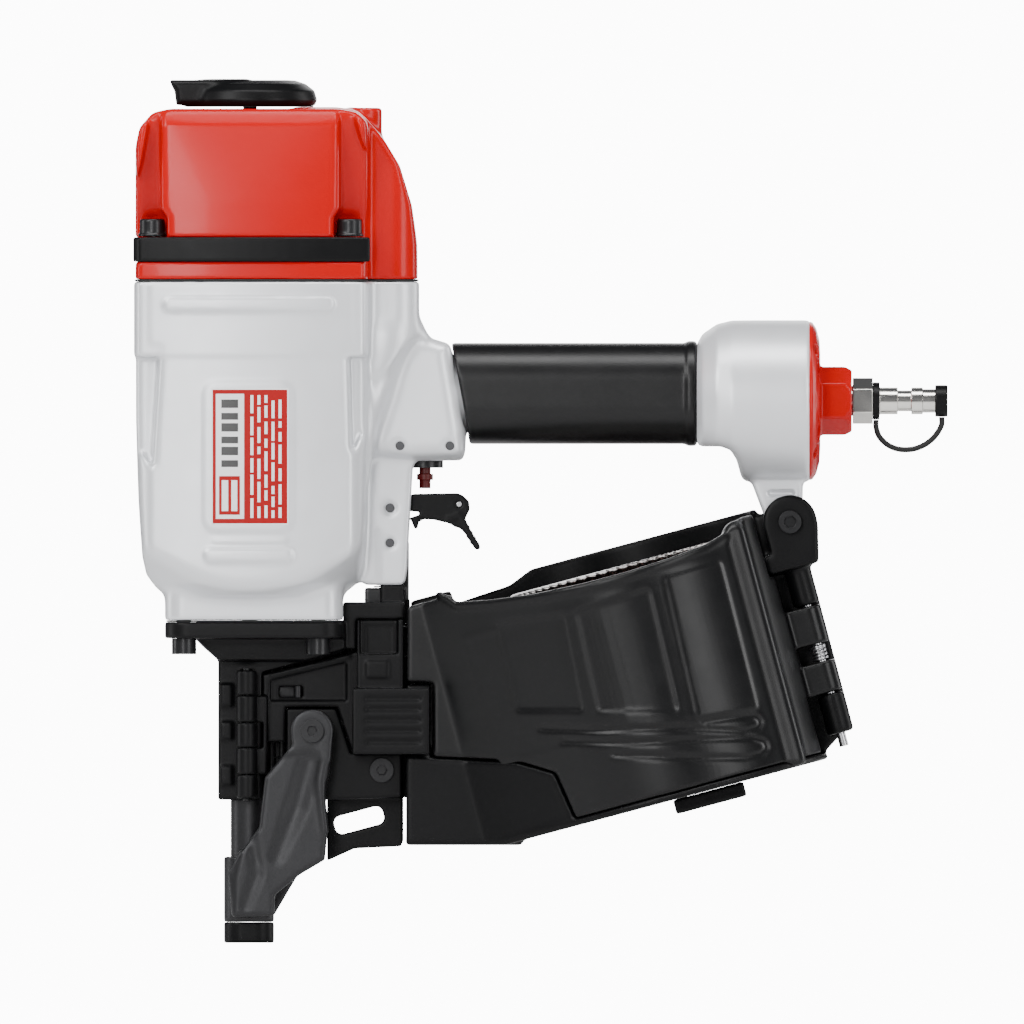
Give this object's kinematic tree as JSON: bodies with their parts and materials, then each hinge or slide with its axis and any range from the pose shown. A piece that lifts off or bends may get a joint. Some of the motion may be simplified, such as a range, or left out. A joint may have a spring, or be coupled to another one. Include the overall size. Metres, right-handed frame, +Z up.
{
  "type": "pneumatic nail gun",
  "caption": "Pneumatic coil nail gun with a red cylinder cap, cast body, rubber handle, tilted drum magazine, hinged nose door, contact foot and trigger.",
  "frame": {"origin": "centre of the contact tip's lower face, on the nail axis", "axes": "+Z up along the nail axis towards the cylinder cap, +X back towards the handle and air plug, +Y to the side of the feed cylinder (away from the door and magazine cover)"},
  "size_m": [0.3584, 0.134, 0.3797],
  "materials": {
    "painted_red": "glossy red paint",
    "cast_body": "satin silver-grey cast aluminium",
    "black_casting": "satin black coated casting",
    "black_plastic": "black moulded plastic",
    "cover_plastic": "satin black moulded shell",
    "grip_rubber": "fine textured black rubber",
    "seal_rubber": "black seal rubber",
    "label": "printed red and white plate",
    "foot_steel": "dark grey cast steel",
    "black_steel": "black oxide steel",
    "bright_steel": "bright ground steel",
    "nickel": "nickel plated steel",
    "spring_steel": "drawn spring wire",
    "brass": "turned brass",
    "aluminium": "machined aluminium",
    "nail_wire": "bright nail wire",
    "valve_red": "red moulded plastic"
  },
  "bodies": {
    "frame": {"main_body": "cast_body", "cylinder_cap": "painted_red", "cap_gasket": "seal_rubber", "cap_band": "black_plastic", "cap_screws": "black_steel", "exhaust_gasket": "seal_rubber", "end_cap": "painted_red", "end_cap_o_ring": "seal_rubber", "air_plug": "nickel", "dust_cap_ring": "black_plastic", "dust_cap_tether": "seal_rubber", "handle_grip": "grip_rubber", "name_plate": "label", "cylinder_sleeve": "aluminium", "sleeve_o_rings": "seal_rubber", "bumper": "seal_rubber", "head_valve_spring": "spring_steel", "nose_body": "black_casting", "nose_gasket": "seal_rubber", "nose_screws": "black_steel", "door_hinge_pin": "bright_steel", "feed_spring": "spring_steel", "feed_cylinder_cap": "black_casting", "magazine_body": "black_plastic", "cover_hinge_pin": "bright_steel", "cover_spring": "spring_steel", "nail_guide_plate": "black_plastic", "magazine_screws": "black_steel", "magazine_foot": "black_plastic", "tray_post": "bright_steel", "nail_strip": "nail_wire", "contact_arm_spring": "spring_steel", "trigger_pin": "bright_steel", "valve_housing": "brass", "valve_spring": "spring_steel", "valve_roll_pins": "bright_steel"},
    "exhaust_deflector": {"exhaust_deflector": "black_plastic", "deflector_screw": "black_steel"},
    "dust_cap": {"dust_cap": "black_plastic"},
    "piston": {"piston": "aluminium", "piston_o_ring": "seal_rubber", "driver_blade": "bright_steel"},
    "head_valve": {"head_valve": "black_plastic"},
    "valve_stem": {"valve_stem": "valve_red"},
    "trigger": {"trigger": "black_plastic", "trigger_lever_pin": "bright_steel"},
    "trigger_lever": {"trigger_lever": "bright_steel"},
    "contact_foot": {"contact_foot": "foot_steel", "contact_tip": "black_plastic", "contact_foot_bolt": "black_steel", "contact_arm": "black_steel"},
    "door": {"door": "black_casting", "latch_spring": "spring_steel"},
    "latch": {"latch": "black_plastic"},
    "check_pawl": {"check_pawl": "bright_steel"},
    "feed_piston": {"feed_piston": "bright_steel"},
    "feed_pawl": {"feed_pawl": "bright_steel"},
    "magazine_cover": {"magazine_cover": "cover_plastic"},
    "nail_tray": {"nail_tray": "black_plastic"},
    "nail_coil": {"nail_coil": "nail_wire"}
  },
  "joints": [
    {"name": "exhaust_deflector_turn", "type": "hinge", "parent": "frame", "child": "exhaust_deflector", "pos_m": [0, 0, 0.37], "axis": [0, 0, 1], "continuous": true},
    {"name": "dust_cap_swing", "type": "hinge", "parent": "frame", "child": "dust_cap", "pos_m": [0.3046, 0, 0.2185], "axis": [0, 1, 0], "range_deg": [0, 100], "stiffness_Nm_per_rad": 0.002, "deforming": ["dust_cap_tether"]},
    {"name": "piston_stroke", "type": "slide", "parent": "frame", "child": "piston", "axis": [0, 0, -1], "range_m": [0, 0.114]},
    {"name": "head_valve_lift", "type": "slide", "parent": "frame", "child": "head_valve", "axis": [0, 0, 1], "range_m": [0, 0.004], "stiffness_N_per_m": 400, "deforming": ["head_valve_spring"]},
    {"name": "trigger_pull", "type": "hinge", "parent": "frame", "child": "trigger", "pos_m": [0.0616, 0, 0.1914], "axis": [0, -1, 0], "range_deg": [0, 18], "stiffness_Nm_per_rad": 0.05, "springref_deg": -17.19},
    {"name": "trigger_lever_tilt", "type": "hinge", "parent": "trigger", "child": "trigger_lever", "pos_m": [0.092, 0, 0.193], "axis": [0, 1, 0], "range_deg": [0, 14]},
    {"name": "valve_stem_slide", "type": "slide", "parent": "frame", "child": "valve_stem", "axis": [0, 0, 1], "range_m": [0, 0.0024], "deforming": ["valve_spring"]},
    {"name": "contact_foot_slide", "type": "slide", "parent": "frame", "child": "contact_foot", "axis": [0, 0, 1], "range_m": [0, 0.018], "stiffness_N_per_m": 1500, "springref_m": -0.02, "deforming": ["contact_arm_spring"]},
    {"name": "door_swing", "type": "hinge", "parent": "frame", "child": "door", "pos_m": [-0.0015, -0.014, 0.09], "axis": [0, 0, -1], "range_deg": [0, 110]},
    {"name": "latch_slide", "type": "slide", "parent": "door", "child": "latch", "axis": [0, 0, -1], "range_m": [0, 0.008], "stiffness_N_per_m": 300, "springref_m": -0.004, "deforming": ["latch_spring"]},
    {"name": "check_pawl_pivot", "type": "hinge", "parent": "door", "child": "check_pawl", "pos_m": [0.021, -0.0062, 0.1105], "axis": [0, 0, 1], "range_deg": [0, 8], "stiffness_Nm_per_rad": 0.002},
    {"name": "feed_piston_slide", "type": "slide", "parent": "frame", "child": "feed_piston", "axis": [1, 0, 0], "range_m": [0, 0.005], "stiffness_N_per_m": 500, "springref_m": -0.004, "deforming": ["feed_spring"]},
    {"name": "feed_pawl_pivot", "type": "hinge", "parent": "feed_piston", "child": "feed_pawl", "pos_m": [0.005, 0.0145, 0.108], "axis": [0, 0, 1], "range_deg": [0, 14], "stiffness_Nm_per_rad": 0.002},
    {"name": "magazine_cover_swing", "type": "hinge", "parent": "frame", "child": "magazine_cover", "pos_m": [0.2501, -0.004, 0.12913], "axis": [-0.2588, 0, 0.9659], "range_deg": [0, 95]},
    {"name": "nail_tray_slide", "type": "slide", "parent": "frame", "child": "nail_tray", "axis": [-0.2588, 0, 0.9659], "range_m": [-0.025, 0]},
    {"name": "nail_coil_turn", "type": "hinge", "parent": "nail_tray", "child": "nail_coil", "pos_m": [0.17507, 0, 0.11938], "axis": [-0.2588, 0, 0.9659], "continuous": true}
  ],
  "couplings": [
    {"joint": "valve_stem_slide", "follows": "trigger_pull", "m_per_rad": 0.007003},
    {"joint": "trigger_lever_tilt", "follows": "contact_foot_slide", "rad_per_m": 12.993}
  ]
}
